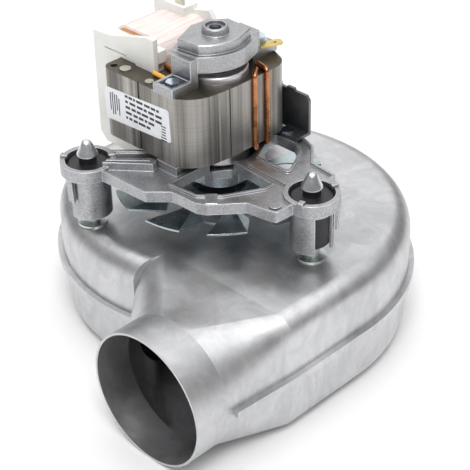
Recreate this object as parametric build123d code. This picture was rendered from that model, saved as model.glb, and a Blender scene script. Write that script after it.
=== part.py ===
"""Combustion fan for a gas boiler: pressed scroll housing, centrifugal impeller, shaded-pole motor.

The origin is on the shaft axis in the plane of the inlet. +Z runs up the shaft to the motor, and
the outlet spigot points along -Y. All sizes are in millimetres.
"""
from build123d import *
from math import cos, sin, radians
import os

# ---- housing, wrapped round the impeller ----
impeller_radius = 54.0
housing_height = 57.0
sheet = 1.0
volute_right = impeller_radius + 29.9
volute_axis_y = 1.0
back_radius = impeller_radius + 29.4
left_radius = impeller_radius + 0.5
front_radius = impeller_radius + 27.0
left_sweep_end = 225.0
tongue_angle = 282.0
edge_radius = 9.0
nest_step = 1.0

spigot_radius = 30.0
outlet_left = impeller_radius - 32.6
spigot_x = outlet_left + spigot_radius
spigot_axis_z = 30.0
spigot_mouth_y = -(impeller_radius + 40.3)
spigot_length = 17.0
throat_y = -(impeller_radius - 11.0)
throat_overlap = 0.0
throat_left_x = -8.0
throat_softening = 9.0

seam_width = 2.4
seam_lip = 0.8
seam_flange_width = 1.5

inlet_radius = 34.0
inlet_length = 12.0
inlet_flange_radius = 44.0
shaft_opening_radius = 12.0
seal_radius = 17.0
seal_thickness = 0.8
seal_bore_radius = 5.0

# ---- motor mounts ----
mount_radius = 57.2
mount_turn = -3.0
mount_names = ("right", "back", "left")
stud_radius = 2.0
stud_top = housing_height + 37.0
stud_foot_radius = 6.5
stud_foot_height = 0.8
spacer_radius = 3.5
spacer_top = housing_height + 7.5
sleeve_radius = 2.8
rubber_radius = 7.7
rubber_disc_radius = 9.3
rubber_disc_height = 3.0
rubber_top = housing_height + 30.0
rubber_neck_radius = 3.8
cone_base = housing_height + 33.4
cone_base_radius = 4.7
cone_tip_radius = 1.7
cone_tip = housing_height + 40.5

# ---- motor frame ----
frame_bottom = housing_height + 26.0
frame_top = housing_height + 30.0
bead_width = 1.3
bead_height = 1.0
ring_top = housing_height + 31.5
ring_radius = 12.0
ring_recess_radius = 9.8
ring_floor = housing_height + 27.0
cup_outer_radius = 9.2
cup_inner_radius = 7.8
cup_bottom = housing_height + 6.0
cup_slot_before = 36.0
cup_slot_after = 24.0
lug_bottom = housing_height + 15.0
hub_radius = 12.5
hub_bottom = housing_height + 16.0
web_radius = 20.0
web_bottom = housing_height + 22.0
rotor_well_radius = 17.0
pillar_half = (6.0, 5.0)

# ---- stator ----
stack_bottom = housing_height + 34.0
stack_height = 32.3
stack_top = stack_bottom + stack_height
stack_right = 16.5
stack_half_width = 30.0
joint_x = -16.9
core_left = -39.0
core_bar_right = -29.5
core_arm_width = 10.0
stator_bore_radius = 14.15
air_gap = 0.35
screw_y = 25.0
screw_radius = 1.6
screw_clearance = 0.15
rivet_radius = 1.9
rivet_head_height = 0.6
shading_wire = 1.2
shading_outer = ((17.2, 5.4), (17.2, 12.8))
shading_inner = ((13.2, 10.6), (9.4, 14.6))
shading_rise = 1.4

# ---- coil ----
cheek_left = -56.0
cheek_right = -17.5
cheek_front_y = 19.4
cheek_thickness = 2.4
cheek_bottom = housing_height + 20.5
cheek_top_left = stack_top + 7.7
cheek_top_right = stack_top + 14.7
bobbin_wall = 1.2
bobbin_clearance = 0.15
winding_left = -51.5
winding_right = -20.5
winding_bottom = housing_height + 23.5
winding_top = stack_top + 10.7
winding_corner = 9.0
tape_thickness = 1.2

# ---- top bracket ----
flange_growth = 2.3
bracket_bottom = stack_top + 6.5
flange_top = stack_top + 13.7
dome_top = stack_top + 18.0
dome_chamfer = 0.5
boss_radius = 5.9
boss_top = stack_top + 20.9
boss_hole_radius = 4.3
foot_half_width = 5.7
foot_inner_y = 16.2
foot_outer_y = 31.0
foot_top = stack_top + 4.1
foot_floor = stack_top + 1.7
foot_wall = 1.4

# ---- shaft and bearings ----
shaft_radius = 4.0
shaft_bottom = 22.0
shaft_top = stack_top + 17.3
bearing_radius = 8.0
bearing_height = 7.0
bearing_gap = 0.02
clip_thickness = 0.5

# ---- rotor ----
end_ring_low = housing_height + 27.0
end_ring_high = stack_top + 3.1
end_ring_inner_radius = 9.5

# ---- cooling fan ----
cooling_fan_radius = 46.2
cooling_blade_count = 10
cooling_first_angle = 319.0
cooling_blade_angle = 21.0
cooling_fan_top = housing_height + 14.0
cooling_sheet = 0.8
cooling_disc_radius = 20.0
cooling_flap_drop = 4.2
cooling_notch_radius = 31.0
collar_radius = 8.0
collar_height = 6.0

# ---- impeller ----
impeller_plate_top = housing_height - 7.0
impeller_bottom = 15.0
impeller_sheet = 1.0
impeller_eye_radius = 38.0
impeller_blade_count = 14
impeller_blade_inner = 38.5
impeller_hub_radius = 9.0
impeller_hub_height = 9.0
washer_radius = 8.5
washer_thickness = 1.2
nut_across_flats = 13.0
nut_height = 5.0

# ---- small parts ----
label_length = 40.5
label_width = 15.2
label_x = -17.9
label_z = stack_bottom + 16.9
label_tilt = -3.2
label_thickness = 0.15
tab_width = 4.8
tab_thickness = 0.8
tab_length = 11.0
tab_turn = 70.0
guard_left = 2.0
guard_right = 24.2
guard_top = stack_top - 16.3
guard_y = 31.2
guard_thickness = 1.4

FAR = 300.0


def polar(radius, angle):
    """Point at a radius and an angle in degrees."""
    return (radius * cos(radians(angle)), radius * sin(radians(angle)))


def tube(outer, inner, low, high, at=(0.0, 0.0)):
    """Ring about a vertical axis; inner 0 gives a solid disc."""
    body = Pos(at[0], at[1], low) * extrude(Circle(outer), high - low)
    if inner > 0:
        body -= Pos(at[0], at[1], low - 1) * extrude(Circle(inner), high - low + 2)
    return body


def block(x0, x1, y0, y1, z0, z1):
    """Box between two corners."""
    return Pos((x0 + x1) / 2, (y0 + y1) / 2, (z0 + z1) / 2) * Box(x1 - x0, y1 - y0, z1 - z0)


def prism(points, low, high):
    """Upright plate with a polygon outline."""
    return Pos(0, 0, low) * extrude(make_face(Polyline(*points, close=True)), high - low)


def spun(profile):
    """Solid of revolution about Z from (radius, height) points."""
    face = make_face(Polyline(*[(r, 0, z) for r, z in profile], close=True))
    return revolve(face, Axis.Z, 360)


def rod(start, end, radius):
    """Round bar between two points."""
    line = Line(start, end)
    section = Plane(origin=start, z_dir=line % 0) * Circle(radius)
    return sweep(section, path=line)


def mount_angle(index):
    return mount_turn + 120 * index


def mount_place(index):
    """Plan position of a motor mount."""
    return polar(mount_radius, mount_angle(index))


def largest(shape):
    """Largest solid of a shape."""
    return sorted(shape.solids(), key=lambda s: s.volume)[-1]


def set_of(shapes):
    """Separate solids kept together in one node."""
    solids = []
    for shape in shapes:
        solids.extend(shape.solids())
    return Compound(children=solids)


# ------------------------------------------------------------------ housing


def volute_face(grow):
    """Plan of the scroll, moved outward by grow."""
    back = (volute_right - back_radius, volute_axis_y)
    left = (back[0] - back_radius + left_radius, volute_axis_y)
    shift = polar(left_radius - front_radius, left_sweep_end)
    front = (left[0] + shift[0], left[1] + shift[1])

    def on(centre, radius, angle):
        x, y = polar(radius + grow, angle)
        return (centre[0] + x, centre[1] + y)

    def arc(centre, radius, first, last):
        middle = on(centre, radius, (first + last) / 2)
        return ThreePointArc(on(centre, radius, first), middle, on(centre, radius, last))

    end = on(front, front_radius, tongue_angle)
    corner = (volute_right + grow, throat_y - throat_overlap)
    inner = (end[0] + 4.0, throat_y - throat_overlap)
    lines = [
        Line(corner, on(back, back_radius, 0)),
        arc(back, back_radius, 0, 180),
        arc(left, left_radius, 180, left_sweep_end),
        arc(front, front_radius, left_sweep_end, tongue_angle),
        Line(end, inner),
        Line(inner, corner),
    ]
    return make_face(lines)


def is_closing_line(edge):
    """True for the straight rim edges inside the throat."""
    return edge.geom_type == GeomType.LINE and abs((edge @ 0).X - (edge @ 1).X) > 0.1


def spigot_ring(grow):
    """Round spigot section in eight arcs, matched to the eight sides of the throat."""
    radius = spigot_radius + grow
    stops = [-14, 14, 76, 104, 166, 194, 256, 284, 346]
    arcs = []
    for first, last in zip(stops, stops[1:]):
        middle = polar(radius, (first + last) / 2)
        arcs.append(ThreePointArc(polar(radius, first), middle, polar(radius, last)))
    return make_face(arcs)


def throat_section(width, height, rounding):
    """Throat outline: rounded rectangle with a softer corner at the top, on the tongue's side."""
    face = Rectangle(width, height)
    corners = sorted(face.vertices(), key=lambda v: (v.X, -v.Y))
    face = fillet(corners[1:], rounding)
    first = min(face.vertices(), key=lambda v: v.X - v.Y)
    return fillet(first, rounding + throat_softening)


def outlet_plane(x, y, z):
    """Plane across the outlet, seen from the open end."""
    return Plane(origin=(x, y, z), x_dir=(1, 0, 0), z_dir=(0, -1, 0))


def housing_body(grow, low, high, rounding, pipe_grow):
    """Filled scroll and throat: plan moved outward by grow, between two heights."""
    scroll = Pos(0, 0, low) * extrude(volute_face(grow), high - low)
    level = [e for e in scroll.edges() if abs((e @ 0).Z - (e @ 1).Z) < 0.01 and not is_closing_line(e)]
    scroll = fillet(level, rounding)
    left = throat_left_x - grow
    right = volute_right + grow
    middle = ((left + right) / 2, throat_y, (low + high) / 2)
    start = outlet_plane(*middle) * throat_section(right - left, high - low, rounding)
    ring_y = spigot_mouth_y + spigot_length
    ring = outlet_plane(spigot_x, ring_y, spigot_axis_z) * spigot_ring(pipe_grow)
    return scroll + loft([start, ring], ruled=True)


def spigot():
    """Round outlet tube beyond the throat."""
    at = (spigot_x, spigot_mouth_y + spigot_length, spigot_axis_z)
    rod_out = extrude(outlet_plane(*at) * Circle(spigot_radius), spigot_length, dir=(0, -1, 0))
    rod_in = extrude(outlet_plane(*at) * Circle(spigot_radius - sheet), spigot_length, dir=(0, -1, 0))
    return rod_out - rod_in


def upper_bodies():
    outer = housing_body(0.0, 0.0, housing_height, edge_radius, 0.0)
    inner = housing_body(-sheet, sheet, housing_height - sheet, edge_radius - sheet, -sheet)
    return outer, inner


def lower_bodies():
    outer = housing_body(-nest_step, 0.0, housing_height, edge_radius, 0.0)
    step = nest_step + sheet
    inner = housing_body(-step, sheet, housing_height - sheet, edge_radius - sheet, -sheet)
    return outer, inner


def seam_plan(grow):
    """Plan of the seam, carried past the throat as far as the spigot."""
    side = spigot_x + spigot_radius
    end_y = spigot_mouth_y + spigot_length + 2
    tail = make_face(
        Polyline(
            (volute_right - 20, throat_y),
            (volute_right + grow, throat_y),
            (side + grow + 0.4, end_y),
            (side - 20, end_y),
            close=True,
        )
    )
    return volute_face(grow) + tail


def seam_band(low, high, outer, inner):
    """Flat band round the scroll between two offsets of its plan."""
    band = Pos(0, 0, low) * extrude(seam_plan(outer), high - low)
    return band - Pos(0, 0, low - 1) * extrude(seam_plan(inner), high - low + 2)


def upper_scroll_shell(outer, inner):
    half = block(-FAR, FAR, -FAR, FAR, spigot_axis_z, FAR)
    shell = ((outer - inner) & half) + (spigot() & half)
    flange = Pos(0, 0, spigot_axis_z) * extrude(seam_plan(seam_width), sheet)
    shell += flange - outer
    low = spigot_axis_z - 2.0
    hem = seam_band(low, spigot_axis_z, seam_width, seam_width - seam_lip)
    lip = seam_band(low, low + 1.0, seam_width, 0.4)
    shell += hem - outer
    shell += lip - outer
    shell -= tube(shaft_opening_radius, 0, housing_height - 5, housing_height + 5)
    return largest(shell)


def lower_scroll_shell(outer, inner):
    half = block(-FAR, FAR, -FAR, FAR, -FAR, spigot_axis_z)
    shell = ((outer - inner) & half) + (spigot() & half)
    low = spigot_axis_z - 1.0
    flange = Pos(0, 0, low) * extrude(seam_plan(seam_flange_width), 1.0)
    shell += flange - outer
    shell -= tube(inlet_radius + sheet, 0, -5, 5)
    return largest(shell)


def inlet_ring():
    """Drawn inlet mouth: a straight wall with a flange inside the floor."""
    wall = tube(inlet_radius + sheet, inlet_radius, 0, inlet_length)
    return wall + tube(inlet_flange_radius, inlet_radius, sheet, 2 * sheet)


def shaft_seal_plate():
    low = housing_height
    return tube(seal_radius, seal_bore_radius, low, low + seal_thickness)


# ------------------------------------------------------------- motor mounts


def motor_studs():
    studs = []
    for k in range(3):
        at = mount_place(k)
        foot = tube(stud_foot_radius, 0, housing_height, housing_height + stud_foot_height, at)
        studs.append(foot + tube(stud_radius, 0, housing_height, stud_top, at))
    return set_of(studs)


def mount_spacers():
    """Shouldered sleeves: wide below the rubber, narrow through it."""
    low = housing_height + stud_foot_height
    profile = [
        (stud_radius, low),
        (spacer_radius, low),
        (spacer_radius, spacer_top),
        (sleeve_radius, spacer_top),
        (sleeve_radius, cone_base),
        (stud_radius, cone_base),
    ]
    sleeve = spun(profile)
    return set_of([Pos(*mount_place(k), 0) * sleeve for k in range(3)])


def rubber_mount(index):
    """Rubber bush held in the frame's cup, with a thick disc on top."""
    disc_low = rubber_top - rubber_disc_height
    profile = [
        (sleeve_radius, spacer_top),
        (rubber_radius - 0.8, spacer_top),
        (rubber_radius, spacer_top + 0.8),
        (rubber_radius, disc_low),
        (rubber_disc_radius, disc_low),
        (rubber_disc_radius, rubber_top - 0.8),
        (rubber_disc_radius - 0.8, rubber_top),
        (rubber_neck_radius, rubber_top),
        (rubber_neck_radius, cone_base),
        (sleeve_radius, cone_base),
    ]
    return Pos(*mount_place(index), 0) * spun(profile)


def cone_nut(index):
    """Turned cone-headed nut, tapped blind from below."""
    profile = [
        (stud_radius, cone_base),
        (cone_base_radius, cone_base),
        (cone_base_radius, cone_base + 0.8),
        (cone_tip_radius + 0.5, cone_tip - 0.6),
        (cone_tip_radius - 0.3, cone_tip),
        (0, cone_tip),
        (0, stud_top),
        (stud_radius, stud_top),
    ]
    return Pos(*mount_place(index), 0) * spun(profile)


# -------------------------------------------------------------- motor frame


def frame_outline():
    """Plan of the cast frame, joining the three mount rings."""
    return [
        (57, -24), (58, -6), (55, 14.5), (41, 16), (32, 26), (24, 28.5), (16.6, 30), (10, 34.5),
        (3, 35), (-12, 46), (-33, 46), (-33, 40), (-15.5, 22), (-15.5, -22), (-33, -38),
        (-35, -46), (-20, -50.3), (6.3, -49.1), (14.5, -41.5), (28, -41), (32, -39), (43, -26.7),
        (54, -25),
    ]


def frame_windows():
    """Openings through the frame on both sides of its spoke to the right-hand mount."""
    front = [(9, -37), (23, -36), (31, -29), (40, -13), (40, -9), (14, -6.5), (10, -11.5), (9, -13)]
    back = [(38, 3.5), (34, 12), (29, 19.5), (24, 22.5), (13, 22.5), (13, 17.5), (20.5, 3.5)]
    return [front, back]


def rounded_prism(points, low, high, rounding, grow=0.0):
    face = make_face(Polyline(*points, close=True))
    if grow != 0.0:
        face = offset(face, grow, kind=Kind.INTERSECTION)
    body = Pos(0, 0, low) * extrude(face, high - low)
    upright = body.edges().filter_by(Axis.Z)
    return fillet(upright, rounding)


def motor_frame():
    outline = frame_outline()
    frame = rounded_prism(outline, frame_bottom, frame_top, 1.5)
    bead_top = frame_top + bead_height
    rim = rounded_prism(outline, frame_top, bead_top, 1.5)
    inset = Pos(0, 0, frame_top - 1) * extrude(
        offset(make_face(Polyline(*outline, close=True)), -bead_width, kind=Kind.INTERSECTION), 4
    )
    frame += rim - inset
    for window in frame_windows():
        frame += rounded_prism(window, frame_top, bead_top, 2.0, bead_width)
    frame += tube(web_radius, 0, web_bottom, frame_bottom)
    frame += tube(web_radius, 0, frame_bottom, frame_top)
    frame += tube(hub_radius, 0, hub_bottom, web_bottom)
    for window in frame_windows():
        frame -= rounded_prism(window, web_bottom - 1, bead_top + 1, 1.5)
    for side in (-1, 1):
        y = side * 26.0
        frame += block(-pillar_half[0], pillar_half[0], y - pillar_half[1], y + pillar_half[1],
                       frame_bottom, stack_bottom)
    ends = [(-25, -47.5), (-23, -49.5), (-4.5, -34.5), (-5.5, -31.5), (-9, -31.5)]
    wall_top = stack_bottom - 0.4
    frame += prism(ends, frame_bottom, wall_top)
    channel = [(-22.3, -46.8), (-21.6, -47.4), (-6.6, -35.0), (-7.6, -33.6)]
    frame -= prism(channel, wall_top - 1.2, wall_top + 1)
    bridge = [(34.6, -35.3), (31.2, -38.7), (25.9, -33.4), (29.3, -30.0)]
    frame += prism(bridge, frame_top, bead_top + 0.2)
    frame += tube(2.6, 0, frame_top, frame_top + 1.4, (53.0, -20.5))
    frame += prism([(22, -4.5), (46, -5.5), (46, -3.9), (22, -2.9)], frame_top, bead_top)
    for k in range(3):
        at = mount_place(k)
        frame += tube(ring_radius, 0, frame_bottom, ring_top, at)
        frame += tube(cup_outer_radius, 0, cup_bottom, frame_bottom, at)
        frame += cup_lug(k)
    for k in range(3):
        at = mount_place(k)
        frame -= tube(ring_recess_radius, 0, ring_floor, ring_top + 20, at)
        frame -= tube(cup_inner_radius, 0, cup_bottom - 1, ring_top, at)
        frame -= cup_opening(k)
    frame -= tube(rotor_well_radius, 0, frame_bottom, stack_bottom + 5)
    pocket = bearing_radius
    frame -= tube(clip_outer_radius(), 0, frame_bottom - 1.0, frame_bottom + 1)
    frame -= tube(pocket, 0, frame_bottom - 1.0 - bearing_height, frame_bottom)
    frame -= tube(shaft_radius + 1.0, 0, hub_bottom - 1, frame_bottom)
    for side in (-1, 1):
        hole = tube(screw_radius, 0, frame_bottom + 2, stack_bottom + 1, (0, side * screw_y))
        frame -= hole
    frame -= tube(guard_screw_radius(), 0, frame_bottom - 1, bead_top + 1, guard_screw_place())
    return largest(frame)


def cup_opening(index):
    """Side opening of a mount's cup, facing away from the shaft."""
    at = mount_place(index)
    turn = mount_angle(index)
    reach = cup_outer_radius * 2.2
    wedge = [(0, 0), polar(reach, turn - cup_slot_before), polar(reach, turn + cup_slot_after)]
    body = prism(wedge, cup_bottom - 1, frame_bottom - 2.5)
    return Pos(at[0], at[1], 0) * body


def cup_lug(index):
    """Tapered lug hanging from the ring beside the cup's opening."""
    at = mount_place(index)
    turn = mount_angle(index) + cup_slot_after + 12
    inner = ring_radius - 2.2
    lug = [
        (inner, -1.6, frame_bottom),
        (ring_radius - 0.2, -1.6, frame_bottom),
        (ring_radius - 0.9, -1.6, lug_bottom),
        (inner + 0.2, -1.6, lug_bottom),
    ]
    solid = extrude(make_face(Polyline(*lug, close=True)), 3.2, dir=(0, 1, 0))
    return Pos(at[0], at[1], 0) * (Rot(0, 0, turn) * solid)


def clip_outer_radius():
    return bearing_radius + 2.5


def guard_screw_radius():
    return 1.5


def guard_screw_place():
    return (16.5, 26.0)


def bearing_at(low):
    """Sintered bush with chamfered ends."""
    high = low + bearing_height
    inner = shaft_radius + bearing_gap
    profile = [
        (inner, low),
        (bearing_radius - 0.8, low),
        (bearing_radius, low + 0.8),
        (bearing_radius, high - 0.8),
        (bearing_radius - 0.8, high),
        (inner, high),
    ]
    return spun(profile)


def lower_bearing():
    return bearing_at(frame_bottom - 1.0 - bearing_height)


def upper_bearing():
    return bearing_at(upper_bearing_low())


def upper_bearing_low():
    return bracket_bottom + 0.8


def bearing_clips():
    """Spring rings that keep the bearings in their seats."""
    level = frame_bottom - 1.0
    low = tube(clip_outer_radius(), shaft_radius + 1.5, level, level + clip_thickness)
    up_z = upper_bearing_low()
    up = tube(clip_outer_radius(), shaft_radius + 1.5, up_z - clip_thickness, up_z)
    return set_of([low, up])


# ------------------------------------------------------------------- stator


def stack_outline():
    h = stack_half_width
    return [
        Line((joint_x, h), (joint_x, -h)),
        Line((joint_x, -h), (4.6, -h)),
        ThreePointArc((4.6, -h), (11.3, -25.6), (15.2, -16.6)),
        ThreePointArc((15.2, -16.6), (16.2, -8), (stack_right, 2.5)),
        Line((stack_right, 2.5), (stack_right, 17.5)),
        ThreePointArc((stack_right, 17.5), (15.3, 23.6), (11.0, 27.4)),
        Line((11.0, 27.4), (5.0, h)),
        Line((5.0, h), (joint_x, h)),
    ]


def stator_stack():
    """Laminations round the rotor, with slots for the shading rings."""
    body = Pos(0, 0, stack_bottom) * extrude(make_face(stack_outline()), stack_top - stack_bottom)
    low = stack_bottom - 1
    high = stack_top + 1
    body -= tube(stator_bore_radius, 0, low, high)
    for side in (-1, 1):
        for k in range(2):
            outer = shading_outer[k]
            inner = shading_inner[k]
            body -= tube(shading_wire + 0.1, 0, low, high, (side * outer[0], side * outer[1]))
            body -= tube(shading_wire + 0.05, 0, low, high, (side * inner[0], side * inner[1]))
    for side in (-1, 1):
        body -= tube(screw_radius + screw_clearance, 0, low, high, (0, side * screw_y))
    for angle in (-28.0, -42.0, -50.0):
        reach = edge_reach(angle)
        x, y = polar(reach, angle)
        body -= tube(0.45, 0, low, high, (x, y))
    groove = 0.6
    body -= prism(
        [(joint_x, -31), (joint_x + 1.4, -31), (joint_x + 1.4, -h_in(groove)), (joint_x, -h_in(groove))],
        low, high,
    )
    for x, y in stack_rivet_places()[:2]:
        body -= tube(rivet_radius - 0.4, 0, low, high, (x, y))
    return largest(body)


def h_in(depth):
    return stack_half_width - depth


def edge_reach(angle):
    """Distance from the shaft to the curved front-right face at an angle."""
    if angle > -45:
        return 21.2 if angle < -35 else 17.9
    return 24.4


def stack_rivet_places():
    return [(-12.9, -26.5), (-12.9, 26.5), (-29.0, -25.4), (-29.0, 25.4)]


def coil_core():
    """C-shaped core: two arms joined to the stack and a bar through the coil."""
    h = stack_half_width
    inner = h - core_arm_width
    bar = block(core_left, core_bar_right, -inner, inner, stack_bottom, stack_top)
    for side in (-1, 1):
        arm = block(core_left, joint_x, min(side * inner, side * h), max(side * inner, side * h),
                    stack_bottom, stack_top)
        corner = [e for e in arm.edges().filter_by(Axis.Z)
                  if (e @ 0).X < core_left + 0.1 and abs((e @ 0).Y) > h - 0.1]
        bar += fillet(corner, 4.0)
    for side in (-1, 1):
        bar -= tube(1.6, 0, stack_bottom - 1, stack_top + 1, (-37.0 + 1.6, side * 26.2))
    for x, y in stack_rivet_places()[2:]:
        bar -= tube(rivet_radius - 0.4, 0, stack_bottom - 1, stack_top + 1, (x, y))
    return largest(bar)


def stack_rivets():
    rivets = []
    for x, y in stack_rivet_places():
        big = x < joint_x
        head = rivet_radius + 0.6 if big else rivet_radius
        shank = tube(rivet_radius - 0.4, 0, stack_bottom, stack_top, (x, y))
        low = tube(head, 0, stack_bottom - rivet_head_height, stack_bottom, (x, y))
        high = tube(head, 0, stack_top, stack_top + rivet_head_height, (x, y))
        rivets.append(shank + low + high)
    return set_of(rivets)


def shading_rings(side):
    """Two closed copper wire rings through the pole tip on one side."""
    rings = []
    for k in range(2):
        ox, oy = shading_outer[k]
        ix, iy = shading_inner[k]
        low = stack_bottom - shading_rise
        high = stack_top + shading_rise
        corners = [(ox, oy, low), (ox, oy, high), (ix, iy, high), (ix, iy, low)]
        corners = [(side * x, side * y, z) for x, y, z in corners]
        path = FilletPolyline(*corners, radius=1.35, close=True)
        start = path @ 0
        section = Plane(origin=start, z_dir=path % 0) * Circle(shading_wire)
        rings.append(sweep(section, path=path))
    return set_of(rings)


# --------------------------------------------------------------------- coil


def tunnel(grow):
    """Space round the core bar, grown outward."""
    inner = stack_half_width - core_arm_width - 0.2
    return block(core_left - grow, core_bar_right + grow, -inner, inner,
                 stack_bottom - grow, stack_top + grow)


def cheek(side):
    """End plate of the bobbin with a sloping top."""
    inner = cheek_front_y - cheek_thickness
    y0 = min(side * inner, side * cheek_front_y)
    points = [
        (cheek_left, cheek_bottom + 4),
        (cheek_left + 4, cheek_bottom),
        (cheek_right, cheek_bottom),
        (cheek_right, cheek_top_right - (6 if side > 0 else 0)),
        (cheek_right - 4, cheek_top_right),
        (cheek_left + 12, cheek_top_left + 1),
        (cheek_left, cheek_top_left),
    ]
    face = make_face(Polyline(*[(x, y0, z) for x, z in points], close=True))
    return extrude(face, cheek_thickness, dir=(0, 1, 0))


def coil_bobbin():
    """Moulded bobbin: tunnel, two cheeks and the raised housings on them."""
    body = tunnel(bobbin_clearance + bobbin_wall)
    inner = cheek_front_y - cheek_thickness
    body &= block(-FAR, FAR, -inner - 0.1, inner + 0.1, 0, FAR)
    body += cheek(-1) + cheek(1)
    y_front = -cheek_front_y
    floor = cheek_top_left - 5.5
    ledge = block(cheek_left, cheek_right - 1, y_front, y_front + 8, floor, cheek_top_left)
    body += ledge
    body += block(cheek_left, cheek_left + 3.5, y_front, y_front + 8, cheek_bottom + 6, cheek_top_left)
    y_back = cheek_front_y
    body += block(-50, -31, y_back - 8, y_back, cheek_top_left - 3.0, cheek_top_right - 2.0)
    body += block(-50, -31, y_back - 8, y_back, winding_top + 0.1, cheek_top_right)
    through = y_front + cheek_thickness + 1
    arch = block(-49, -35, y_front - 1, through, stack_top + 1.5, cheek_top_left - 5.6)
    body -= arch
    body -= tunnel(bobbin_clearance) & block(-FAR, FAR, -FAR, FAR, 0, FAR)
    hole = block(core_left - bobbin_clearance, core_bar_right + bobbin_clearance, -FAR, FAR,
                 stack_bottom - bobbin_clearance, stack_top + bobbin_clearance)
    body -= hole
    for x in (-46.0, -36.0):
        top = cheek_top_right
        body -= block(x - 2.6, x + 2.6, y_back - 5.9, y_back - 4.9, top - 6, top + 1)
    return largest(body)


def winding_block(shrink):
    """Wound block with rounded corners, taken in by shrink."""
    inner = cheek_front_y - cheek_thickness
    body = block(winding_left + shrink, winding_right - shrink, -inner, inner,
                 winding_bottom + shrink, winding_top - shrink)
    return fillet(body.edges().filter_by(Axis.Y), winding_corner - shrink)


def ledge_space():
    """Room taken by the raised parts of the bobbin's cheeks."""
    y = cheek_front_y
    front = block(-FAR, cheek_right, -y - 1, -y + 8, cheek_top_left - 5.5, FAR)
    back = block(-50, -31, y - 8, y + 1, cheek_top_left - 3.0, FAR)
    side = block(-FAR, cheek_left + 3.5, -y - 1, -y + 8, 0, FAR)
    return front + back + side


def coil_winding():
    body = winding_block(tape_thickness) - tunnel(bobbin_clearance + bobbin_wall)
    return largest(body - ledge_space())


def coil_tape():
    body = winding_block(0) - winding_block(tape_thickness)
    return largest(body - ledge_space())


def coil_terminals():
    """Two blade terminals standing in the back cheek."""
    blades = []
    y = cheek_front_y - 5.9
    for x in (-46.0, -36.0):
        blades.append(block(x - 2.6, x + 2.6, y, y + 1.0, cheek_top_right - 6, cheek_top_right + 2.5))
    return set_of(blades)


def thermal_link_lead():
    """Sleeved lead lying on the stack beside the bracket's foot."""
    z = stack_top + 1.1
    return rod((-16.2, -20.8, z), (-6.2, -21.6, z), 1.05)


# -------------------------------------------------------------- top bracket


def dome_lines():
    return [
        Line((-6.6, -15.6), (4.5, -14.3)),
        ThreePointArc((4.5, -14.3), (10.3, -7.0), (11.8, 2.6)),
        Line((11.8, 2.6), (8.6, 12.3)),
        Line((8.6, 12.3), (-5, 12.8)),
        Line((-5, 12.8), (-10.9, 5.4)),
        Line((-10.9, 5.4), (-12.2, -2.9)),
        Line((-12.2, -2.9), (-6.6, -15.6)),
    ]


def top_bearing_bracket():
    """Cast bridge over the rotor with the upper bearing in its dome."""
    dome_face = make_face(dome_lines())
    flange_face = offset(dome_face, flange_growth, kind=Kind.INTERSECTION)
    body = Pos(0, 0, bracket_bottom) * extrude(flange_face, flange_top - bracket_bottom)
    shoulder = dome_top - dome_chamfer
    body += Pos(0, 0, flange_top) * extrude(dome_face, shoulder - flange_top)
    body += Pos(0, 0, shoulder) * extrude(dome_face, dome_chamfer, taper=45)
    boss = [(0, dome_top), (boss_radius, dome_top), (boss_radius - 0.5, boss_top - 0.4),
            (boss_radius - 1.0, boss_top), (0, boss_top)]
    body += spun(boss)
    half = foot_half_width
    wall = foot_inner_y + 4.2
    for side in (-1, 1):
        spans = [
            (foot_inner_y, foot_outer_y, stack_top, foot_top),
            (foot_inner_y, wall, stack_top, flange_top - 0.6),
            (10.0, foot_inner_y + 0.5, bracket_bottom, flange_top - 0.6),
        ]
        for near, far, low, high in spans:
            y0 = min(side * near, side * far)
            y1 = max(side * near, side * far)
            body += block(-half, half, y0, y1, low, high)
    inner = half - foot_wall
    body -= block(-inner, inner, -foot_outer_y + foot_wall, -wall - 0.4, foot_floor, foot_top + 1)
    for side in (-1, 1):
        body -= tube(screw_radius + screw_clearance, 0, stack_top - 1, foot_top + 1, (0, side * screw_y))
    low = upper_bearing_low()
    body -= tube(bearing_radius, 0, low, low + bearing_height)
    body -= tube(clip_outer_radius(), 0, bracket_bottom - 1, low)
    body -= tube(boss_hole_radius, 0, bracket_bottom - 1, boss_top + 1)
    return largest(body)


def bracket_screws():
    """Hex-headed screws through the feet and the stack into the frame."""
    screws = []
    for side, seat in ((-1, foot_floor), (1, foot_top + tab_thickness)):
        y = side * screw_y
        hexagon = Pos(0, y, seat + 0.5) * extrude(RegularPolygon(3.3, 6), 2.2)
        washer = tube(3.8, 0, seat, seat + 0.5, (0, y))
        shank = tube(screw_radius, 0, frame_bottom + 2, seat, (0, y))
        screws.append(hexagon + washer + shank)
    return set_of(screws)


def earth_tab():
    """Push-on earth tab under the rear screw, with its latch hole."""
    low = foot_top
    high = foot_top + tab_thickness
    start = (3.9, 21.6)
    ahead = polar(tab_length, tab_turn)
    aside = polar(tab_width / 2, tab_turn + 90)
    nose = polar(tab_length - 1.0, tab_turn)
    trim = polar(tab_width / 2 - 1.0, tab_turn + 90)
    points = [
        (start[0] - aside[0], start[1] - aside[1]),
        (start[0] + nose[0] - aside[0], start[1] + nose[1] - aside[1]),
        (start[0] + ahead[0] - trim[0], start[1] + ahead[1] - trim[1]),
        (start[0] + ahead[0] + trim[0], start[1] + ahead[1] + trim[1]),
        (start[0] + nose[0] + aside[0], start[1] + nose[1] + aside[1]),
        (start[0] + aside[0], start[1] + aside[1]),
    ]
    tab = prism(points, low, high)
    tab += tube(4.2, 0, low, high, (0, screw_y))
    tab += block(0, 3.2, 21.6, 26.0, low, high)
    hole = polar(tab_length * 0.68, tab_turn)
    tab -= tube(0.8, 0, low - 1, high + 1, (start[0] + hole[0], start[1] + hole[1]))
    tab -= tube(screw_radius + screw_clearance, 0, low - 1, high + 1, (0, screw_y))
    return largest(tab)


# -------------------------------------------------------------- small parts


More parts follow.
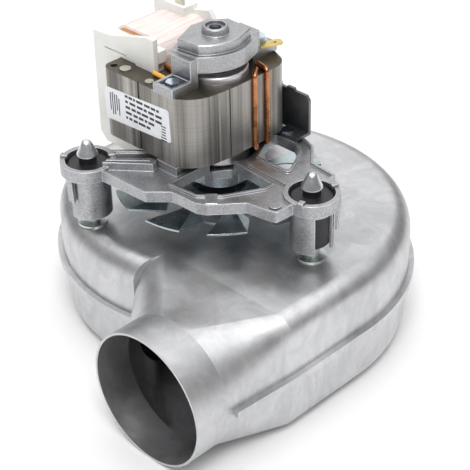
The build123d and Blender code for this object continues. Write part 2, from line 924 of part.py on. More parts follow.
def rating_label():
    """Plain sticker on the front face of the stack."""
    face = RectangleRounded(label_length, label_width, 1.4)
    facing = outlet_plane(label_x, -stack_half_width, label_z)
    return extrude(facing * (Rot(0, 0, -label_tilt) * face), label_thickness, dir=(0, -1, 0))


def guard_plate():
    """Bent sheet screen behind the stack, screwed to the frame."""
    foot_z = frame_top + bead_height
    points = [
        (guard_left, foot_z),
        (guard_right, foot_z),
        (guard_right, guard_top - 2.2),
        (guard_right - 1.6, guard_top),
        (guard_left, guard_top),
    ]
    screen = extrude(
        make_face(Polyline(*[(x, guard_y, z) for x, z in points], close=True)),
        guard_thickness, dir=(0, 1, 0),
    )
    foot = block(12.5, guard_right, 23.4, guard_y + guard_thickness, foot_z, foot_z + guard_thickness)
    foot -= tube(guard_screw_radius() + 0.1, 0, foot_z - 1, foot_z + 3, guard_screw_place())
    crest = Rot(90, 0, 0) * Cylinder(2.2, guard_thickness)
    bump = Pos(13.5, guard_y + guard_thickness / 2, guard_top) * crest
    return largest(screen + foot + (bump & block(0, 30, 0, 60, guard_top - 1, guard_top + 1.0)))


def guard_plate_screw():
    low = frame_top + bead_height + guard_thickness
    at = guard_screw_place()
    return tube(2.8, 0, low, low + 1.1, at) + tube(guard_screw_radius(), 0, frame_bottom, low, at)


# -------------------------------------------------------------------- rotor


def shaft():
    profile = [
        (0, shaft_bottom),
        (shaft_radius - 0.6, shaft_bottom),
        (shaft_radius, shaft_bottom + 0.6),
        (shaft_radius, shaft_top - 0.6),
        (shaft_radius - 0.6, shaft_top),
        (0, shaft_top),
    ]
    return spun(profile)


def rotor_core():
    radius = stator_bore_radius - air_gap
    return tube(radius, shaft_radius, stack_bottom, stack_top)


def end_ring(low, high, round_top):
    """Cast end ring with a rounded outer edge."""
    radius = stator_bore_radius - air_gap - 0.1
    body = tube(radius, end_ring_inner_radius, low, high)
    level = high if round_top else low
    around = 2 * 3.1 * radius * 0.95
    rim = [e for e in body.edges() if abs(e.center().Z - level) < 0.01 and e.length > around]
    return fillet(rim, 1.2)


def cooling_fan_blade(turn):
    """Blade about one direction: a flat skewed panel with a flap bent down along a fold."""
    half = cooling_blade_angle / 2
    low = cooling_fan_top - cooling_sheet
    outer = cooling_fan_radius
    tip = [polar(outer, turn - half), polar(outer, turn), polar(outer, turn + half)]
    notch = polar(cooling_notch_radius, turn - 1.0)
    root = [polar(cooling_disc_radius - 1, turn + 2.0), polar(cooling_disc_radius - 1, turn + 20.0)]
    fold = polar(cooling_disc_radius + 4, turn + half - 2.0)
    lines = [
        Line(notch, tip[0]),
        ThreePointArc(tip[0], tip[1], tip[2]),
        Line(tip[2], fold),
        Line(fold, root[1]),
        Line(root[1], root[0]),
        Line(root[0], notch),
    ]
    panel = Pos(0, 0, low) * extrude(make_face(lines), cooling_sheet)
    corner = polar(cooling_notch_radius, turn + half + 9.5)
    top = cooling_fan_top
    edge = [(*tip[2], top), (*fold, top), (*corner, top - cooling_flap_drop)]
    flap = extrude(make_face(Polyline(*edge, close=True)), cooling_sheet, dir=(0, 0, -1))
    return panel + flap


def cooling_fan():
    """Pressed sheet fan: a disc with skewed blades, each with a flap bent down at one edge."""
    low = cooling_fan_top - cooling_sheet
    fan = tube(cooling_disc_radius, 0, low, cooling_fan_top)
    for k in range(cooling_blade_count):
        fan += cooling_fan_blade(cooling_first_angle + 360.0 / cooling_blade_count * k)
    fan -= tube(shaft_radius, 0, low - 2, cooling_fan_top + 2)
    return largest(fan)


def cooling_fan_collar():
    high = cooling_fan_top - cooling_sheet
    return tube(collar_radius, shaft_radius, high - collar_height, high)


def impeller_hub():
    high = impeller_plate_top - impeller_sheet
    return tube(impeller_hub_radius, shaft_radius, high - impeller_hub_height, high)


def impeller_backplate():
    low = impeller_plate_top - impeller_sheet
    return tube(impeller_radius, shaft_radius, low, impeller_plate_top)


def impeller_shroud():
    return tube(impeller_radius, impeller_eye_radius, impeller_bottom, impeller_bottom + impeller_sheet)


def impeller_blades():
    """Backward-curved blades between the backplate and the shroud."""
    low = impeller_bottom + impeller_sheet
    high = impeller_plate_top - impeller_sheet
    lean = 18.0
    root = polar(impeller_blade_inner, 0)
    middle = polar((impeller_blade_inner + impeller_radius) / 2 - 0.2, -lean * 0.62 + 2.0)
    tip = polar(impeller_radius - 0.6, -lean)
    line = ThreePointArc(root, middle, tip)
    face = trace(line, impeller_sheet)
    blade = Pos(0, 0, low) * extrude(face, high - low)
    step = 360.0 / impeller_blade_count
    return set_of([Rot(0, 0, step * k) * blade for k in range(impeller_blade_count)])


def impeller_washer():
    high = impeller_plate_top - impeller_sheet - impeller_hub_height
    return tube(washer_radius, shaft_radius, high - washer_thickness, high)


def impeller_nut():
    high = impeller_plate_top - impeller_sheet - impeller_hub_height - washer_thickness
    hexagon = RegularPolygon(nut_across_flats / 2, 6, major_radius=False)
    body = Pos(0, 0, high - nut_height) * extrude(hexagon, nut_height)
    return body - tube(shaft_radius, 0, high - nut_height - 1, high + 1)


def thrust_washers():
    """Thin washers on the shaft at the inner faces of the bearings."""
    low_z = frame_bottom - 1.0
    low = tube(shaft_radius + 1.4, shaft_radius, low_z + 0.01, low_z + 0.8)
    high_z = upper_bearing_low()
    high = tube(shaft_radius + 1.4, shaft_radius, high_z - 0.8, high_z - 0.01)
    return set_of([low, high])


def all_parts():
    upper = upper_bodies()
    lower = lower_bodies()
    parts = {
        "upper_scroll_shell": upper_scroll_shell(*upper),
        "lower_scroll_shell": lower_scroll_shell(*lower),
        "inlet_ring": inlet_ring(),
        "shaft_seal_plate": shaft_seal_plate(),
        "motor_studs": motor_studs(),
        "mount_spacers": mount_spacers(),
    }
    for k, name in enumerate(mount_names):
        parts["rubber_mount_" + name] = rubber_mount(k)
        parts["cone_nut_" + name] = cone_nut(k)
    makers = [
        motor_frame, lower_bearing, upper_bearing, bearing_clips, stator_stack, coil_core,
        stack_rivets, coil_bobbin, coil_winding, coil_tape, coil_terminals, thermal_link_lead,
        top_bearing_bracket, bracket_screws, earth_tab,
        rating_label, guard_plate, guard_plate_screw, shaft, rotor_core, cooling_fan,
        cooling_fan_collar, impeller_hub, impeller_backplate, impeller_shroud, impeller_blades,
        impeller_washer, impeller_nut, thrust_washers,
    ]
    for maker in makers:
        parts[maker.__name__] = maker()
    parts["shading_rings_right"] = shading_rings(1)
    parts["shading_rings_left"] = shading_rings(-1)
    parts["lower_end_ring"] = end_ring(end_ring_low, stack_bottom, False)
    parts["upper_end_ring"] = end_ring(stack_top, end_ring_high, True)
    return parts


os.makedirs("parts", exist_ok=True)
for node, solid in all_parts().items():
    export_step(solid, "parts/" + node + ".step")
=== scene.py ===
"""Looks of the combustion fan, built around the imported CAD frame. Units are metres."""
import math
import random

import bpy
from mathutils import Matrix, Vector

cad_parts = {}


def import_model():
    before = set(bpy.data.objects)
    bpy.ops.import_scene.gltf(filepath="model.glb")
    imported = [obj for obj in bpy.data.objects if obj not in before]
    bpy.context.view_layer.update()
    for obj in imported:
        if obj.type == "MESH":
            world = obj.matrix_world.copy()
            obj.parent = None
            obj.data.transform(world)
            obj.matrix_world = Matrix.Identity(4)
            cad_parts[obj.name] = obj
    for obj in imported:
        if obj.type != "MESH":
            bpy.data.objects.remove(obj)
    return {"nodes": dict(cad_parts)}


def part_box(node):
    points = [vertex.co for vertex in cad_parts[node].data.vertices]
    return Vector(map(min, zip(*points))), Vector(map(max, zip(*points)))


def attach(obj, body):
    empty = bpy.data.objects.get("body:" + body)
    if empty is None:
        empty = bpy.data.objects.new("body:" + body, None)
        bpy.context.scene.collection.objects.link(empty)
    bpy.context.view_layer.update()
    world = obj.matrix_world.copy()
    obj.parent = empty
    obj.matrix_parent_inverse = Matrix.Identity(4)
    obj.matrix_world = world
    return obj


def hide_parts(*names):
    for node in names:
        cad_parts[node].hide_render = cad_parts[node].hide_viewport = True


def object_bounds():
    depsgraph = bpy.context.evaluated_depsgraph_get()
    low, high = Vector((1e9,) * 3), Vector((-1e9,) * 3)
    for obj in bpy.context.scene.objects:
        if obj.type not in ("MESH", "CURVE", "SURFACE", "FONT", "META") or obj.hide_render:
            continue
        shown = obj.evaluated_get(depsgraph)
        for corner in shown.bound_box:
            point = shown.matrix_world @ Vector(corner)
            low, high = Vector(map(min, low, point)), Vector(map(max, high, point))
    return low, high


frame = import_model()
cad_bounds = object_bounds()
nodes = frame["nodes"]
mm = 0.001
bevel_samples = 6
ring_count = 48


# ------------------------------------------------------------------ node helpers


class Graph:
    """Short way to build a shader graph."""

    def __init__(self, name):
        self.material = bpy.data.materials.new(name)
        self.material.use_nodes = True
        self.tree = self.material.node_tree
        self.tree.nodes.clear()
        self.out = self.tree.nodes.new("ShaderNodeOutputMaterial")
        self.shader = self.tree.nodes.new("ShaderNodeBsdfPrincipled")
        self.link(self.shader.outputs["BSDF"], self.out.inputs["Surface"])
        self.coord = self.tree.nodes.new("ShaderNodeTexCoord").outputs["Object"]

    def link(self, a, b):
        self.tree.links.new(a, b)

    def put(self, socket, value):
        if hasattr(value, "is_output"):
            self.link(value, socket)
        elif value is not None:
            socket.default_value = value

    def mapping(self, scale, rotation):
        """Object coordinates, stretched and turned."""
        n = self.tree.nodes.new("ShaderNodeMapping")
        self.link(self.coord, n.inputs["Vector"])
        n.inputs["Scale"].default_value = scale
        n.inputs["Rotation"].default_value = rotation
        return n.outputs["Vector"]

    def noise(self, scale, detail=3.0, rough=0.55, stretch=(1, 1, 1), distortion=0.0, rotation=(0, 0, 0)):
        n = self.tree.nodes.new("ShaderNodeTexNoise")
        self.link(self.mapping(stretch, rotation), n.inputs["Vector"])
        n.inputs["Scale"].default_value = scale
        n.inputs["Detail"].default_value = detail
        n.inputs["Roughness"].default_value = rough
        n.inputs["Distortion"].default_value = distortion
        return n.outputs["Fac"]

    def cells(self, scale, feature="F1", stretch=(1, 1, 1), rotation=(0, 0, 0)):
        n = self.tree.nodes.new("ShaderNodeTexVoronoi")
        n.feature = feature
        self.link(self.mapping(stretch, rotation), n.inputs["Vector"])
        n.inputs["Scale"].default_value = scale
        return n.outputs["Distance"]

    def ramp(self, value, stops, smooth=False):
        """Value carried from one range to another, with stops as low, high, result at low, result at high."""
        n = self.tree.nodes.new("ShaderNodeMapRange")
        n.interpolation_type = "SMOOTHSTEP" if smooth else "LINEAR"
        low, high, a, b = stops
        self.link(value, n.inputs["Value"])
        for key, v in (("From Min", low), ("From Max", high), ("To Min", a), ("To Max", b)):
            n.inputs[key].default_value = v
        return n.outputs["Result"]

    def math(self, kind, a, b=None):
        n = self.tree.nodes.new("ShaderNodeMath")
        n.operation = kind
        self.put(n.inputs[0], a)
        self.put(n.inputs[1], b)
        return n.outputs[0]

    def mix(self, fac, a, b):
        n = self.tree.nodes.new("ShaderNodeMix")
        n.data_type = "RGBA"
        self.put(n.inputs[0], fac)
        self.put(n.inputs[6], rgba(a))
        self.put(n.inputs[7], rgba(b))
        return n.outputs[2]

    def along(self, axis):
        """Object coordinate along one axis."""
        n = self.tree.nodes.new("ShaderNodeSeparateXYZ")
        self.link(self.coord, n.inputs[0])
        return n.outputs[axis]

    def edges(self, radius):
        """1 along sharp edges within the radius, 0 elsewhere."""
        flat, sharp = 0.995, 0.88
        geometry = self.tree.nodes.new("ShaderNodeNewGeometry")
        n = self.tree.nodes.new("ShaderNodeVectorMath")
        n.operation = "DOT_PRODUCT"
        self.link(self.rounded(radius), n.inputs[0])
        self.link(geometry.outputs["Normal"], n.inputs[1])
        return self.ramp(n.outputs["Value"], (flat, sharp, 0.0, 1.0))

    def rounded(self, radius):
        """Normal that softens sharp edges within the radius."""
        n = self.tree.nodes.new("ShaderNodeBevel")
        n.samples = bevel_samples
        n.inputs["Radius"].default_value = radius
        return n.outputs["Normal"]

    def bump(self, value, distance, strength=1.0, normal=None):
        n = self.tree.nodes.new("ShaderNodeBump")
        n.inputs["Distance"].default_value = distance
        n.inputs["Strength"].default_value = strength
        self.link(value, n.inputs["Height"])
        if normal is not None:
            self.link(normal, n.inputs["Normal"])
        return n.outputs["Normal"]

    def finish(self, color, rough, metal=0.0, normal=None, **more):
        s = self.shader.inputs
        self.put(s["Base Color"], rgba(color))
        self.put(s["Roughness"], rough)
        s["Metallic"].default_value = metal
        if normal is not None:
            self.link(normal, s["Normal"])
        for key, value in more.items():
            s[key.replace("_", " ")].default_value = value
        return self.material


def rgba(c):
    """Colour with an alpha of 1, or the socket it came as."""
    return c if hasattr(c, "is_output") or len(c) == 4 else (*c, 1.0)


# --------------------------------------------------------------------- materials


def pressed_sheet():
    """Satin aluminium sheet with draw marks, scuffs and a few pits."""
    g = Graph("pressed_sheet")
    cloud = g.noise(22, 4, 0.6)
    fine = g.noise(900, 2, 0.5)
    drawn = g.noise(130, 5, 0.65, (0.12, 1.0, 1.0), 0.4, (0, 0, 0.6))
    scratch = g.cells(260, "DISTANCE_TO_EDGE", (0.035, 1.0, 0.5), (0.3, 0.2, 0.9))
    scratch = g.ramp(scratch, (0.0, 0.007, 1.0, 0.0))
    rare = g.ramp(g.noise(30, 2), (0.52, 0.66, 0.0, 1.0))
    scratch = g.math("MULTIPLY", scratch, rare)
    pits = g.ramp(g.cells(150), (0.0, 0.07, 1.0, 0.0))
    pits = g.math("MULTIPLY", pits, g.ramp(g.noise(16, 2), (0.55, 0.62, 0.0, 1.0)))
    base = g.mix(g.ramp(cloud, (0.3, 0.7, 0.0, 1.0)), (0.50, 0.505, 0.515), (0.62, 0.622, 0.63))
    base = g.mix(g.ramp(drawn, (0.35, 0.7, 0.0, 0.35)), base, (0.42, 0.42, 0.435))
    base = g.mix(g.math("MULTIPLY", scratch, 0.35), base, (0.95, 0.95, 0.96))
    base = g.mix(g.math("MULTIPLY", pits, 0.8), base, (0.20, 0.20, 0.21))
    mottle = g.noise(75, 5, 0.7, (1, 1, 0.45), 1.2)
    base = g.mix(g.ramp(mottle, (0.46, 0.62, 0.0, 0.30)), base, (0.80, 0.80, 0.81))
    base = g.mix(g.ramp(mottle, (0.30, 0.42, 0.30, 0.0)), base, (0.33, 0.33, 0.345))
    rough = g.ramp(g.noise(60, 4, 0.6), (0.3, 0.72, 0.32, 0.46))
    rough = g.math("ADD", rough, g.math("MULTIPLY", fine, 0.05))
    slope = g.math("ADD", g.math("MULTIPLY", g.along("X"), 0.35), g.math("MULTIPLY", g.along("Y"), -0.94))
    slope = g.ramp(slope, (0.030, 0.085, 1.0, 0.0), smooth=True)
    n = g.bump(slope, 0.007)
    n = g.bump(cloud, 0.0009, 0.35, n)
    n = g.bump(drawn, 0.00010, 0.35, n)
    n = g.bump(fine, 0.00002, 0.5, n)
    n = g.bump(g.math("ADD", scratch, pits), 0.00006, -0.5, n)
    return g.finish(base, rough, 1.0, n)


def die_cast(name, dark, light, grain):
    """Fine-grained casting with bright edges, partly worn metal and partly painted highlight."""
    g = Graph(name)
    grit = g.noise(1400, 3, 0.6)
    flow = g.noise(90, 4, 0.62, (1, 1, 1), 0.8)
    worn_edge_and_highlight = g.edges(0.0007)
    base = g.mix(g.ramp(flow, (0.3, 0.7, 0.0, 1.0)), dark, light)
    base = g.mix(g.ramp(grit, (0.35, 0.75, 0.0, 0.35 * grain)), base, (0.82, 0.82, 0.84))
    # Bright edges: partly worn metal, partly painted highlight.
    base = g.mix(g.math("MULTIPLY", worn_edge_and_highlight, 0.8), base, (0.86, 0.87, 0.89))
    rough = g.ramp(flow, (0.3, 0.7, 0.34, 0.48))
    n = g.rounded(0.00045)
    n = g.bump(flow, 0.00025, 0.4, n)
    n = g.bump(grit, 0.00005 * grain, 0.6, n)
    return g.finish(base, rough, 1.0, n)


def plated(name, base, rough, ring=True, tint=None):
    """Zinc-plated turned or pressed steel."""
    g = Graph(name)
    flow = g.noise(180, 3, 0.6)
    turned = g.noise(700, 2, 0.5, (0.02, 0.02, 1.0))
    color = g.mix(g.ramp(flow, (0.35, 0.7, 0.0, 1.0)), base, tuple(min(1, c * 1.25) for c in base))
    if tint:
        color = g.mix(g.ramp(g.noise(420, 2, 0.5), (0.45, 0.7, 0.0, 0.7)), color, tint)
    n = g.bump(turned if ring else flow, 0.00003, 0.4)
    n = g.bump(flow, 0.00004, 0.3, n)
    return g.finish(color, g.ramp(flow, (0.3, 0.7, rough - 0.05, rough + 0.08)), 1.0, n)


def fan_zinc():
    """Blue-grey zinc on the cooling fan, brighter at its cut edges, partly bare cut metal and partly painted
    highlight.
    """
    g = Graph("fan_zinc")
    cloud = g.noise(55, 3, 0.6, (1, 1, 1), 0.5)
    fine = g.noise(800, 2)
    base = g.mix(g.ramp(cloud, (0.35, 0.68, 0.0, 1.0)), (0.22, 0.28, 0.31), (0.52, 0.60, 0.63))
    # Bright edges: partly bare cut metal, partly painted highlight.
    base = g.mix(g.math("MULTIPLY", g.edges(0.0006), 0.8), base, (0.85, 0.92, 0.95))
    n = g.rounded(0.0003)
    n = g.bump(cloud, 0.0004, 0.4, n)
    n = g.bump(fine, 0.00002, 0.4, n)
    return g.finish(base, g.ramp(cloud, (0.3, 0.7, 0.20, 0.34)), 1.0, n)


def rubber():
    """Black rubber with a faint bloom."""
    g = Graph("rubber")
    bloom = g.noise(160, 4, 0.6)
    base = g.mix(g.ramp(bloom, (0.4, 0.75, 0.0, 1.0)), (0.010, 0.010, 0.012), (0.035, 0.035, 0.04))
    n = g.bump(g.noise(1200, 2), 0.00004, 0.5, g.rounded(0.0004))
    return g.finish(base, g.ramp(bloom, (0.3, 0.7, 0.32, 0.55)), 0.0, n)


def laminations():
    """Edge-on electrical steel: fine horizontal leaves, tool-drawn vertical shading, broad vertical bands of
    painted highlight and painted shade, and a painted shade that darkens the top to a brown.
    """
    g = Graph("laminations")
    leaf = g.noise(1, 1, 0.5, (12, 12, 2000))
    drawn = g.noise(1, 4, 0.7, (520, 520, 5))
    painted_light_bands = g.noise(1, 3, 0.6, (120, 120, 3))
    top_shade_mottle = g.noise(45, 3, 0.6)
    base = g.mix(g.ramp(drawn, (0.34, 0.66, 0.0, 1.0)), (0.13, 0.12, 0.105), (0.40, 0.385, 0.36))
    # Painted highlight and painted shade: broad vertical bands, lighter in some places and darker in others.
    base = g.mix(g.ramp(painted_light_bands, (0.50, 0.66, 0.0, 0.7)), base, (0.58, 0.56, 0.53))
    base = g.mix(g.ramp(painted_light_bands, (0.34, 0.46, 0.6, 0.0)), base, (0.10, 0.09, 0.08))
    base = g.mix(g.ramp(leaf, (0.3, 0.7, 0.0, 0.18)), base, (0.12, 0.11, 0.10))
    # Painted shade: faces that point up or down are turned a mottled dark brown.
    geometry = g.tree.nodes.new("ShaderNodeNewGeometry")
    split = g.tree.nodes.new("ShaderNodeSeparateXYZ")
    g.link(geometry.outputs["True Normal"], split.inputs[0])
    flat = g.ramp(g.math("ABSOLUTE", split.outputs[2]), (0.6, 0.9, 0.0, 1.0))
    painted_top_shade = g.mix(g.ramp(top_shade_mottle, (0.35, 0.7, 0.0, 1.0)), (0.085, 0.07, 0.055), (0.17, 0.15, 0.12))
    base = g.mix(flat, base, painted_top_shade)
    n = g.rounded(0.00025)
    n = g.bump(leaf, 0.00005, 0.5, n)
    n = g.bump(drawn, 0.00004, 0.6, n)
    return g.finish(base, g.ramp(drawn, (0.3, 0.7, 0.30, 0.46)), 0.9, n)


def nylon():
    """Off-white moulded nylon."""
    g = Graph("nylon")
    cloud = g.noise(60, 3)
    base = g.mix(g.ramp(cloud, (0.35, 0.7, 0.0, 1.0)), (0.85, 0.85, 0.81), (0.93, 0.93, 0.90))
    n = g.bump(g.noise(700, 2), 0.00003, 0.4, g.rounded(0.0005))
    return g.finish(base, 0.42, 0.0, n, Subsurface_Weight=0.15, Subsurface_Radius=(0.004, 0.003, 0.002))


def wrap():
    """Layers of clear tape over copper wire: pale pink with wound ridges."""
    g = Graph("coil_wrap")
    cloud = g.noise(70, 3, 0.6, (1, 3, 1))
    base = g.mix(g.ramp(cloud, (0.35, 0.7, 0.0, 1.0)), (0.90, 0.81, 0.77), (0.93, 0.87, 0.84))
    low = g.ramp(g.along("Z"), (0.118, 0.131, 0.55, 0.0))
    base = g.mix(low, base, (0.88, 0.68, 0.60))
    ridge = g.noise(1, 3, 0.6, (900, 30, 45), 0.25)
    base = g.mix(g.ramp(ridge, (0.40, 0.62, 0.65, 0.0)), base, (0.78, 0.60, 0.55))
    n = g.bump(ridge, 0.0005, 0.9)
    return g.finish(base, 0.32, 0.0, n, Coat_Weight=0.3, Coat_Roughness=0.15, Subsurface_Weight=0.1,
                    Subsurface_Radius=(0.004, 0.003, 0.002))


def simple(name, a, b, rough, metal, scale=220):
    """Plain material that drifts between two colours."""
    g = Graph(name)
    cloud = g.noise(scale, 3, 0.6)
    base = g.mix(g.ramp(cloud, (0.35, 0.7, 0.0, 1.0)), a, b)
    n = g.bump(g.noise(scale * 5, 2), 0.00003, 0.5, g.rounded(0.0002))
    return g.finish(base, g.ramp(cloud, (0.3, 0.7, rough - 0.04, rough + 0.08)), metal, n)


sheet = pressed_sheet()
cast_frame = die_cast("cast_frame", (0.27, 0.275, 0.29), (0.42, 0.425, 0.44), 1.4)
cast_bracket = die_cast("cast_bracket", (0.29, 0.295, 0.305), (0.42, 0.425, 0.435), 1.2)
cast_ring = die_cast("cast_ring", (0.78, 0.77, 0.80), (0.90, 0.89, 0.93), 2.0)
cone_zinc = plated("cone_zinc", (0.66, 0.69, 0.70), 0.24)
spacer_zinc = plated("spacer_zinc", (0.56, 0.60, 0.58), 0.3)
screw_zinc = plated("screw_zinc", (0.52, 0.60, 0.66), 0.2, False, (0.55, 0.62, 0.85))
rivet_zinc = plated("rivet_zinc", (0.62, 0.61, 0.55), 0.35, False)
black_rubber = rubber()
steel_leaves = laminations()
white_nylon = nylon()
tape = wrap()
copper = simple("copper_wire", (0.40, 0.16, 0.07), (0.66, 0.30, 0.14), 0.26, 1.0, 160)
winding = simple("winding", (0.55, 0.26, 0.12), (0.72, 0.38, 0.2), 0.3, 1.0)
sleeve = simple("lead_sleeve", (0.85, 0.40, 0.05), (0.95, 0.52, 0.10), 0.35, 0.0)
brass = simple("brass_tab", (0.62, 0.46, 0.15), (0.78, 0.62, 0.28), 0.3, 1.0)
tinned = simple("tinned", (0.55, 0.53, 0.44), (0.72, 0.70, 0.60), 0.3, 1.0)
film = simple("label_film", (0.86, 0.88, 0.92), (0.92, 0.93, 0.96), 0.3, 0.0)
dark_sheet = simple("dark_sheet", (0.12, 0.125, 0.135), (0.22, 0.225, 0.235), 0.36, 0.9, 60)
bronze = simple("sintered_bronze", (0.30, 0.22, 0.13), (0.42, 0.32, 0.20), 0.5, 1.0)
spring = simple("spring_steel", (0.32, 0.33, 0.35), (0.45, 0.46, 0.48), 0.3, 1.0)
ground = plated("ground_steel", (0.55, 0.56, 0.58), 0.22)
rotor_steel = simple("rotor_steel", (0.28, 0.27, 0.25), (0.42, 0.40, 0.38), 0.38, 1.0)
fan_sheet = fan_zinc()

looks = {
    sheet: ["upper_scroll_shell", "lower_scroll_shell", "inlet_ring", "shaft_seal_plate",
            "impeller_backplate", "impeller_shroud", "impeller_blades", "impeller_hub",
            "impeller_washer", "impeller_nut"],
    cast_frame: ["motor_frame"],
    cast_bracket: ["top_bearing_bracket"],
    cast_ring: ["upper_end_ring", "lower_end_ring"],
    cone_zinc: ["cone_nut_right", "cone_nut_back", "cone_nut_left"],
    spacer_zinc: ["mount_spacers", "motor_studs"],
    screw_zinc: ["bracket_screws", "guard_plate_screw"],
    rivet_zinc: ["stack_rivets"],
    black_rubber: ["rubber_mount_right", "rubber_mount_back", "rubber_mount_left"],
    steel_leaves: ["stator_stack", "coil_core"],
    white_nylon: ["coil_bobbin"],
    tape: ["coil_tape"],
    winding: ["coil_winding"],
    copper: ["shading_rings_right", "shading_rings_left"],
    sleeve: ["thermal_link_lead"],
    brass: ["earth_tab"],
    tinned: ["coil_terminals"],
    film: ["rating_label"],
    dark_sheet: ["guard_plate"],
    bronze: ["lower_bearing", "upper_bearing"],
    spring: ["bearing_clips", "thrust_washers"],
    ground: ["shaft"],
    rotor_steel: ["rotor_core"],
    fan_sheet: ["cooling_fan", "cooling_fan_collar"],
}
for material, names in looks.items():
    for name in names:
        for slot in nodes[name].material_slots:
            slot.material = material


# ------------------------------------------------------------------- small details


def new_piece(name, verts, faces, material):
    """Mesh object of one material, linked to the scene."""
    mesh = bpy.data.meshes.new(name)
    mesh.from_pydata(verts, [], faces)
    mesh.materials.append(material)
    piece = bpy.data.objects.new(name, mesh)
    bpy.context.scene.collection.objects.link(piece)
    return piece


def ring(x, y, radius, z):
    """Points of one level circle."""
    turns = [math.tau * k / ring_count for k in range(ring_count)]
    return [(x + radius * math.cos(t), y + radius * math.sin(t), z) for t in turns]


def ring_faces(rows, wraps=False):
    """Quads between rings of points. The last ring joins the first one if it wraps."""
    count = ring_count
    return [(i * count + k, i * count + (k + 1) % count,
             (i + 1) % rows * count + (k + 1) % count, (i + 1) % rows * count + k)
            for i in range(rows if wraps else rows - 1) for k in range(count)]


def block_piece(name, places, material):
    """One mesh of several boxes, each given as centre, size and turn about Z in degrees."""
    corners = ((-0.5, -0.5), (0.5, -0.5), (0.5, 0.5), (-0.5, 0.5))
    quads = ((3, 2, 1, 0), (4, 5, 6, 7), (0, 1, 5, 4), (1, 2, 6, 5), (2, 3, 7, 6), (3, 0, 4, 7))
    verts, faces = [], []
    for centre, size, turn in places:
        c, s = math.cos(math.radians(turn)), math.sin(math.radians(turn))
        first = len(verts)
        for dz in (-0.5, 0.5):
            for dx, dy in corners:
                x, y = dx * size[0], dy * size[1]
                verts.append(((centre[0] + x * c - y * s) * mm, (centre[1] + x * s + y * c) * mm,
                              (centre[2] + dz * size[2]) * mm))
        faces += [tuple(first + k for k in quad) for quad in quads]
    piece = new_piece(name, verts, faces, material)
    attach(piece, "housing")
    return piece


def label_print():
    """Plain unreadable bars in place of the label's lettering. Sizes are in mm."""
    rise, depth = 0.02, 0.04
    text_rows, text_height, text_left, text_top = 5, 1.15, 13.5, 2.6
    code_bars, code_left, code_step, code_width = 5, 4.0, 1.35, 0.6
    note_rows, note_right, note_bottom, note_step, note_height = 6, 4.2, 2.0, 1.3, 0.5
    low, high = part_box("rating_label")
    x0, x1, z0, z1 = (v / mm for v in (low[0], high[0], low[2], high[2]))
    y = low[1] / mm - rise
    rng = random.Random(4)
    bars = []
    for row in range(text_rows):
        z = z1 - text_top - row * (z1 - z0 - 4.6) / text_rows
        x = x0 + text_left
        while x < x1 - (12 if row > 2 else 6):
            width = rng.uniform(1.0, 4.2)
            bars.append(((x + width / 2, y, z), (width, depth, text_height), 0))
            x += width + rng.uniform(0.5, 1.1)
    for k in range(code_bars):
        x = x0 + code_left + k * code_step
        bars.append(((x, y, (z0 + z1) / 2 + rng.uniform(-1, 1)), (code_width, depth, rng.uniform(7, 12)), 0))
    for k in range(note_rows):
        z = z0 + note_bottom + k * note_step
        bars.append(((x1 - note_right, y, z), (rng.uniform(2, 4), depth, note_height), 0))
    block_piece("label_print", bars, ink)


def cone_cover(side):
    """Smooth turned form of one cone nut, with its rolled base and rounded tip."""
    low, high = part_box("cone_nut_" + side)
    x, y = (low[0] + high[0]) / 2, (low[1] + high[1]) / 2
    z0, z1 = low[2], high[2]
    tall, wide = z1 - z0, (high[0] - low[0]) / 2
    # Shares of the nut's radius and height, from its foot to just below the tip.
    outline = [(0.55, 0.0), (0.90, 0.0), (0.97, 0.03), (1.0, 0.08), (0.97, 0.14), (0.90, 0.24), (0.80, 0.38),
               (0.69, 0.54), (0.58, 0.70), (0.47, 0.84), (0.40, 0.92), (0.30, 0.97), (0.15, 0.995)]
    verts = [point for r, h in outline for point in ring(x, y, r * wide, z0 + h * tall)]
    tip, foot = len(verts), len(verts) + 1
    verts += [(x, y, z1), (x, y, z0)]
    last = (len(outline) - 1) * ring_count
    faces = ring_faces(len(outline))
    faces += [(last + k, last + (k + 1) % ring_count, tip) for k in range(ring_count)]
    faces += [((k + 1) % ring_count, k, foot) for k in range(ring_count)]
    piece = new_piece("cone_cover_" + side, verts, faces, cone_zinc)
    piece.data.polygons.foreach_set("use_smooth", [True] * len(faces))
    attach(piece, "housing")
    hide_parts("cone_nut_" + side)


def cup_lips():
    """Small cast lips at the rings' edges that hold the rubbers down. Sizes are in mm."""
    lip_radius, lip_height, lip_size = 10.6, 88.4, (3.6, 3.0, 2.2)
    places = []
    for side, turns in (("right", (72, -72)), ("back", (30, 170)), ("left", (61, -150))):
        low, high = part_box("rubber_mount_" + side)
        x, y = (low[0] + high[0]) / 2 / mm, (low[1] + high[1]) / 2 / mm
        for turn in turns:
            c, s = math.cos(math.radians(turn)), math.sin(math.radians(turn))
            places.append(((x + lip_radius * c, y + lip_radius * s, lip_height), lip_size, turn))
    piece = block_piece("cup_lips", places, cast_frame)
    bevel = piece.modifiers.new("edges", "BEVEL")
    bevel.width = 0.0006
    bevel.segments = 3


def boss_clip():
    """Flat ring in the bracket's boss. Sizes are in mm."""
    outer, inner, bottom, top = 4.25, 2.6, 142.6, 143.2
    outline = [(outer, bottom), (outer, top), (inner, top), (inner, bottom)]
    verts = [(x * mm, y * mm, z * mm) for r, h in outline for x, y, z in ring(0, 0, r, h)]
    piece = new_piece("boss_clip", verts, ring_faces(len(outline), wraps=True), spring)
    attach(piece, "housing")


ink = simple("ink", (0.02, 0.02, 0.025), (0.05, 0.05, 0.055), 0.5, 0.0)
label_print()
for side in ("right", "back", "left"):
    cone_cover(side)
cup_lips()
boss_clip()


# ------------------------------------------------------------------------- stage


def floor():
    """Wide, nearly white floor just under the part."""
    width, gap = 8, 0.0002
    bpy.ops.mesh.primitive_plane_add(size=width, location=(0, 0, cad_bounds[0][2] - gap))
    plane = bpy.context.object
    plane.name = "floor"
    plane.data.materials.append(Graph("floor").finish((0.93, 0.93, 0.93), 0.9))


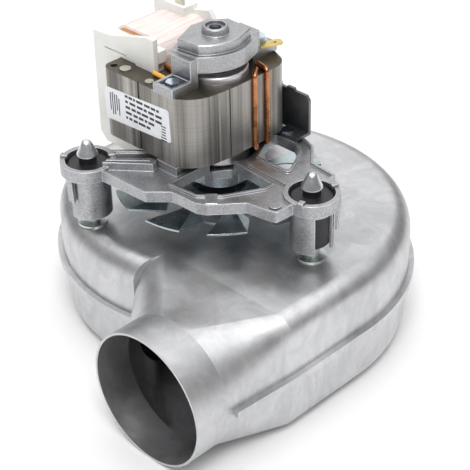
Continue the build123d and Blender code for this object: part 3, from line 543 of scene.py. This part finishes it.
def world():
    """Soft studio: bright overhead, dim at the sides, as in a light tent with an open front."""
    w = bpy.data.worlds.new("studio")
    bpy.context.scene.world = w
    w.use_nodes = True
    t = w.node_tree
    t.nodes.clear()
    out = t.nodes.new("ShaderNodeOutputWorld")
    bg = t.nodes.new("ShaderNodeBackground")
    t.links.new(bg.outputs[0], out.inputs[0])
    coord = t.nodes.new("ShaderNodeTexCoord")
    split = t.nodes.new("ShaderNodeSeparateXYZ")
    t.links.new(coord.outputs["Generated"], split.inputs[0])
    ramp = t.nodes.new("ShaderNodeValToRGB")
    t.links.new(split.outputs["Z"], ramp.inputs[0])
    stops = [(0.0, 0.30), (0.30, 0.30), (0.60, 0.36), (0.84, 1.55), (1.0, 1.7)]
    while len(ramp.color_ramp.elements) < len(stops):
        ramp.color_ramp.elements.new(0.5)
    for e, (place, v) in zip(ramp.color_ramp.elements, stops):
        e.position = place
        e.color = (v, v, v, 1)
    t.links.new(ramp.outputs[0], bg.inputs["Color"])
    bg.inputs["Strength"].default_value = 1.0


def area(name, place, target, size, power):
    """Rectangular light turned toward its target."""
    data = bpy.data.lights.new(name, "AREA")
    data.shape = "RECTANGLE"
    data.size, data.size_y = size
    data.energy = power
    light = bpy.data.objects.new(name, data)
    light.location = place
    light.rotation_euler = (Vector(target) - Vector(place)).to_track_quat("-Z", "Y").to_euler()
    bpy.context.scene.collection.objects.link(light)


def camera():
    """Camera placed by its turn about the shaft, its height angle, its roll and its lens."""
    azimuth, elevation, roll = map(math.radians, (45.356, 33.329, -1.367))
    place = Vector((0.401436, -0.387913, 0.407199))
    back = Vector((math.sin(azimuth) * math.cos(elevation), -math.cos(azimuth) * math.cos(elevation),
                   math.sin(elevation)))
    right = Vector((math.cos(azimuth), math.sin(azimuth), 0))
    up = back.cross(right)
    right, up = (right * math.cos(roll) + up * math.sin(roll), up * math.cos(roll) - right * math.sin(roll))
    data = bpy.data.cameras.new("camera")
    data.sensor_width = 36
    data.lens = 113.37
    data.clip_start = 0.01
    cam = bpy.data.objects.new("camera", data)
    cam.matrix_world = Matrix.Translation(place) @ Matrix((right, up, back)).transposed().to_4x4()
    bpy.context.scene.collection.objects.link(cam)
    bpy.context.scene.camera = cam


floor()
world()
area("front_top", (0.50, -0.50, 1.10), (0, 0, 0.06), (0.45, 0.45), 6.0)
area("back", (-1.1, 1.1, 0.95), (0, 0, 0.06), (1.6, 1.0), 4.0)
camera()
bpy.context.scene.view_settings.view_transform = "Standard"
